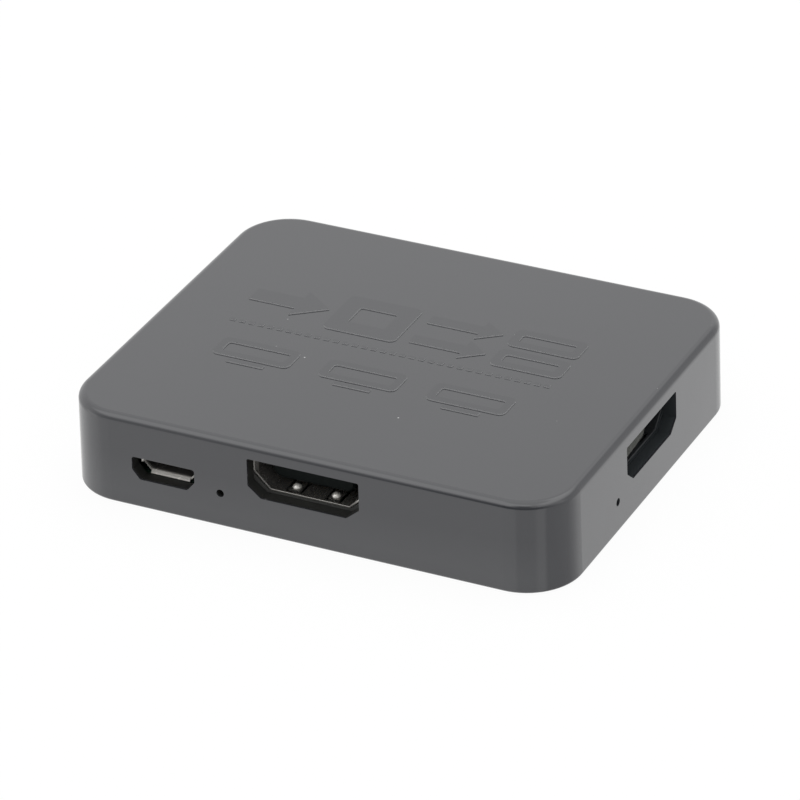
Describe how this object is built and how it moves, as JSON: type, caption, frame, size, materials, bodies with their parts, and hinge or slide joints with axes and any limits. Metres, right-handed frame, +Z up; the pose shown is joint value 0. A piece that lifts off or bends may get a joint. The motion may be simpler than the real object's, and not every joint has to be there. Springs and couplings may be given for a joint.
{
  "type": "video splitter",
  "caption": "Flat black plastic box that repeats a video signal, with an input socket and a small power socket in front and an output socket in each side.",
  "frame": {"origin": "middle of the underside, which is the face it stands on", "axes": "+Z up, -Y to the front with the input and power sockets, +X to the right side seen from the front"},
  "size_m": [0.0664, 0.0548, 0.0123],
  "materials": {
    "case_plastic": "moulded black plastic, polished",
    "cover_plastic": "moulded black plastic, fine matt grain",
    "screw_steel": "black zinc plated",
    "socket_steel": "nickel plated sheet",
    "socket_plastic": "moulded black resin",
    "contact_metal": "gold flash",
    "board_laminate": "very dark green solder mask",
    "chip_resin": "moulded resin",
    "lead_tin": "tinned",
    "ferrite": "sintered",
    "can_metal": "drawn can",
    "ceramic": "fired ceramic",
    "resistor_body": "glazed",
    "lamp_resin": "clear resin"
  },
  "bodies": {
    "root": {"bottom_cover": "cover_plastic", "case_screws": "screw_steel", "ceramic_capacitors": "ceramic", "chip_resistors": "resistor_body", "circuit_board": "board_laminate", "clock_crystal": "can_metal", "memory_chip": "chip_resin", "memory_chip_leads": "lead_tin", "out1_lamp": "lamp_resin", "out2_lamp": "lamp_resin", "power_inductor": "ferrite", "power_lamp": "lamp_resin", "power_socket_contacts": "contact_metal", "power_socket_insulator": "socket_plastic", "power_socket_shell": "socket_steel", "reservoir_capacitors": "can_metal", "splitter_chip": "chip_resin", "splitter_chip_leads": "lead_tin", "surge_arrays": "chip_resin", "top_shell": "case_plastic", "video_in_contacts": "contact_metal", "video_in_insulator": "socket_plastic", "video_in_shell": "socket_steel", "video_out1_contacts": "contact_metal", "video_out1_insulator": "socket_plastic", "video_out1_shell": "socket_steel", "video_out2_contacts": "contact_metal", "video_out2_insulator": "socket_plastic", "video_out2_shell": "socket_steel", "voltage_regulator": "chip_resin", "voltage_regulator_leads": "lead_tin"}
  },
  "joints": []
}
